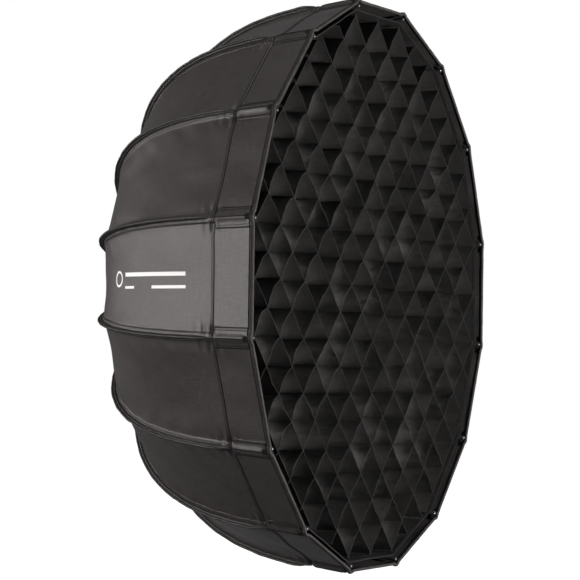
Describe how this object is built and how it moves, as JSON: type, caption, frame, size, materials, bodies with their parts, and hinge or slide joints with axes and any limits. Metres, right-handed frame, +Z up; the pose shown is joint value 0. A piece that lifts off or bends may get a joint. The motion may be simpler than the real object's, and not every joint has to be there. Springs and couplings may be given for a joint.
{
  "type": "octabox",
  "caption": "Folding round softbox on a bayonet ring: ribbed black cloth canopy with a deep lip, inner baffle, front diffuser and cloth egg-crate grid.",
  "frame": {"origin": "centre of the seat, the flat rear face of the insert that the light's mount rests against", "axes": "+Y along the mount axis towards the light, so that light leaves towards -Y; +Z up"},
  "size_m": [0.8336, 0.383, 0.8336],
  "materials": {
    "canopy_cloth": "satin black woven nylon, silver inside",
    "grid_cloth": "matt black cloth",
    "diffuser_cloth": "translucent white cloth",
    "cuff_cloth": "black cloth",
    "rib_rod": "fibreglass rod",
    "rib_socket": "black powder coat",
    "hub_metal": "black powder coat",
    "insert_metal": "satin",
    "pin_steel": "ground",
    "screw_steel": "blackened",
    "knob_plastic": "moulded"
  },
  "bodies": {
    "mount_insert": {"bayonet_insert": "insert_metal", "retaining_ring": "hub_metal"},
    "hub": {"hub_ring": "hub_metal", "pin_keeper_ring": "hub_metal", "hinge_pins": "pin_steel", "hub_screws": "screw_steel", "rear_collar": "cuff_cloth"},
    "lock_knob": {"rotation_lock_knob": "knob_plastic"},
    "rib_01": {"rib_arm_01": "rib_socket", "rib_rod_01": "rib_rod", "gore_01": "canopy_cloth"},
    "rib_02": {"rib_arm_02": "rib_socket", "rib_rod_02": "rib_rod", "gore_02": "canopy_cloth"},
    "rib_03": {"rib_arm_03": "rib_socket", "rib_rod_03": "rib_rod", "gore_03": "canopy_cloth"},
    "rib_04": {"rib_arm_04": "rib_socket", "rib_rod_04": "rib_rod", "gore_04": "canopy_cloth"},
    "rib_05": {"rib_arm_05": "rib_socket", "rib_rod_05": "rib_rod", "gore_05": "canopy_cloth"},
    "rib_06": {"rib_arm_06": "rib_socket", "rib_rod_06": "rib_rod", "gore_06": "canopy_cloth"},
    "rib_07": {"rib_arm_07": "rib_socket", "rib_rod_07": "rib_rod", "gore_07": "canopy_cloth"},
    "rib_08": {"rib_arm_08": "rib_socket", "rib_rod_08": "rib_rod", "gore_08": "canopy_cloth"},
    "rib_09": {"rib_arm_09": "rib_socket", "rib_rod_09": "rib_rod", "gore_09": "canopy_cloth"},
    "rib_10": {"rib_arm_10": "rib_socket", "rib_rod_10": "rib_rod", "gore_10": "canopy_cloth"},
    "rib_11": {"rib_arm_11": "rib_socket", "rib_rod_11": "rib_rod", "gore_11": "canopy_cloth"},
    "rib_12": {"rib_arm_12": "rib_socket", "rib_rod_12": "rib_rod", "gore_12": "canopy_cloth"},
    "rib_13": {"rib_arm_13": "rib_socket", "rib_rod_13": "rib_rod", "gore_13": "canopy_cloth"},
    "rib_14": {"rib_arm_14": "rib_socket", "rib_rod_14": "rib_rod", "gore_14": "canopy_cloth"},
    "rib_15": {"rib_arm_15": "rib_socket", "rib_rod_15": "rib_rod", "gore_15": "canopy_cloth"},
    "rib_16": {"rib_arm_16": "rib_socket", "rib_rod_16": "rib_rod", "gore_16": "canopy_cloth"},
    "grid": {"grid_cells": "grid_cloth", "grid_band": "grid_cloth"},
    "diffuser": {"front_diffuser": "diffuser_cloth"},
    "baffle": {"inner_baffle": "diffuser_cloth"}
  },
  "joints": [
    {"name": "hub_turn", "type": "hinge", "parent": "mount_insert", "child": "hub", "pos_m": [0, 0, 0], "axis": [0, 1, 0], "continuous": true},
    {"name": "rotation_lock_turn", "type": "hinge", "parent": "hub", "child": "lock_knob", "pos_m": [0, -0.015, -0.09], "axis": [0, 0, -1], "range_deg": [0, 270]},
    {"name": "rib_01_fold", "type": "hinge", "parent": "hub", "child": "rib_01", "pos_m": [0.01405, -0.038, 0.07062], "axis": [0.9808, 0, -0.1951], "range_deg": [0, 50], "deforming": ["gore_01", "gore_02", "gore_03", "gore_04", "gore_05", "gore_06", "gore_07", "gore_08", "gore_09", "gore_10", "gore_11", "gore_12", "gore_13", "gore_14", "gore_15", "gore_16", "grid_cells", "grid_band", "front_diffuser", "inner_baffle"]},
    {"name": "rib_02_fold", "type": "hinge", "parent": "hub", "child": "rib_02", "pos_m": [0.04, -0.038, 0.05987], "axis": [0.8315, 0, -0.5556], "range_deg": [0, 50]},
    {"name": "rib_03_fold", "type": "hinge", "parent": "hub", "child": "rib_03", "pos_m": [0.05987, -0.038, 0.04], "axis": [0.5556, 0, -0.8315], "range_deg": [0, 50]},
    {"name": "rib_04_fold", "type": "hinge", "parent": "hub", "child": "rib_04", "pos_m": [0.07062, -0.038, 0.01405], "axis": [0.1951, 0, -0.9808], "range_deg": [0, 50]},
    {"name": "rib_05_fold", "type": "hinge", "parent": "hub", "child": "rib_05", "pos_m": [0.07062, -0.038, -0.01405], "axis": [-0.1951, 0, -0.9808], "range_deg": [0, 50]},
    {"name": "rib_06_fold", "type": "hinge", "parent": "hub", "child": "rib_06", "pos_m": [0.05987, -0.038, -0.04], "axis": [-0.5556, 0, -0.8315], "range_deg": [0, 50]},
    {"name": "rib_07_fold", "type": "hinge", "parent": "hub", "child": "rib_07", "pos_m": [0.04, -0.038, -0.05987], "axis": [-0.8315, 0, -0.5556], "range_deg": [0, 50]},
    {"name": "rib_08_fold", "type": "hinge", "parent": "hub", "child": "rib_08", "pos_m": [0.01405, -0.038, -0.07062], "axis": [-0.9808, 0, -0.1951], "range_deg": [0, 50]},
    {"name": "rib_09_fold", "type": "hinge", "parent": "hub", "child": "rib_09", "pos_m": [-0.01405, -0.038, -0.07062], "axis": [-0.9808, 0, 0.1951], "range_deg": [0, 50]},
    {"name": "rib_10_fold", "type": "hinge", "parent": "hub", "child": "rib_10", "pos_m": [-0.04, -0.038, -0.05987], "axis": [-0.8315, 0, 0.5556], "range_deg": [0, 50]},
    {"name": "rib_11_fold", "type": "hinge", "parent": "hub", "child": "rib_11", "pos_m": [-0.05987, -0.038, -0.04], "axis": [-0.5556, 0, 0.8315], "range_deg": [0, 50]},
    {"name": "rib_12_fold", "type": "hinge", "parent": "hub", "child": "rib_12", "pos_m": [-0.07062, -0.038, -0.01405], "axis": [-0.1951, 0, 0.9808], "range_deg": [0, 50]},
    {"name": "rib_13_fold", "type": "hinge", "parent": "hub", "child": "rib_13", "pos_m": [-0.07062, -0.038, 0.01405], "axis": [0.1951, 0, 0.9808], "range_deg": [0, 50]},
    {"name": "rib_14_fold", "type": "hinge", "parent": "hub", "child": "rib_14", "pos_m": [-0.05987, -0.038, 0.04], "axis": [0.5556, 0, 0.8315], "range_deg": [0, 50]},
    {"name": "rib_15_fold", "type": "hinge", "parent": "hub", "child": "rib_15", "pos_m": [-0.04, -0.038, 0.05987], "axis": [0.8315, 0, 0.5556], "range_deg": [0, 50]},
    {"name": "rib_16_fold", "type": "hinge", "parent": "hub", "child": "rib_16", "pos_m": [-0.01405, -0.038, 0.07062], "axis": [0.9808, 0, 0.1951], "range_deg": [0, 50]},
    {"name": "grid_removal", "type": "slide", "parent": "hub", "child": "grid", "axis": [0, -1, 0], "range_m": [0, 0.311]},
    {"name": "diffuser_removal", "type": "slide", "parent": "hub", "child": "diffuser", "axis": [0, -1, 0], "range_m": [0, 0.301]},
    {"name": "baffle_removal", "type": "slide", "parent": "hub", "child": "baffle", "axis": [0, -1, 0], "range_m": [0, 0.371]}
  ],
  "couplings": [
    {"joint": "rib_02_fold", "follows": "rib_01_fold", "ratio": 1},
    {"joint": "rib_03_fold", "follows": "rib_01_fold", "ratio": 1},
    {"joint": "rib_04_fold", "follows": "rib_01_fold", "ratio": 1},
    {"joint": "rib_05_fold", "follows": "rib_01_fold", "ratio": 1},
    {"joint": "rib_06_fold", "follows": "rib_01_fold", "ratio": 1},
    {"joint": "rib_07_fold", "follows": "rib_01_fold", "ratio": 1},
    {"joint": "rib_08_fold", "follows": "rib_01_fold", "ratio": 1},
    {"joint": "rib_09_fold", "follows": "rib_01_fold", "ratio": 1},
    {"joint": "rib_10_fold", "follows": "rib_01_fold", "ratio": 1},
    {"joint": "rib_11_fold", "follows": "rib_01_fold", "ratio": 1},
    {"joint": "rib_12_fold", "follows": "rib_01_fold", "ratio": 1},
    {"joint": "rib_13_fold", "follows": "rib_01_fold", "ratio": 1},
    {"joint": "rib_14_fold", "follows": "rib_01_fold", "ratio": 1},
    {"joint": "rib_15_fold", "follows": "rib_01_fold", "ratio": 1},
    {"joint": "rib_16_fold", "follows": "rib_01_fold", "ratio": 1},
    {"joint": "grid_removal", "follows": "rib_01_fold", "m_per_rad": 0.35523},
    {"joint": "diffuser_removal", "follows": "rib_01_fold", "m_per_rad": 0.34377},
    {"joint": "baffle_removal", "follows": "rib_01_fold", "m_per_rad": 0.42399}
  ]
}
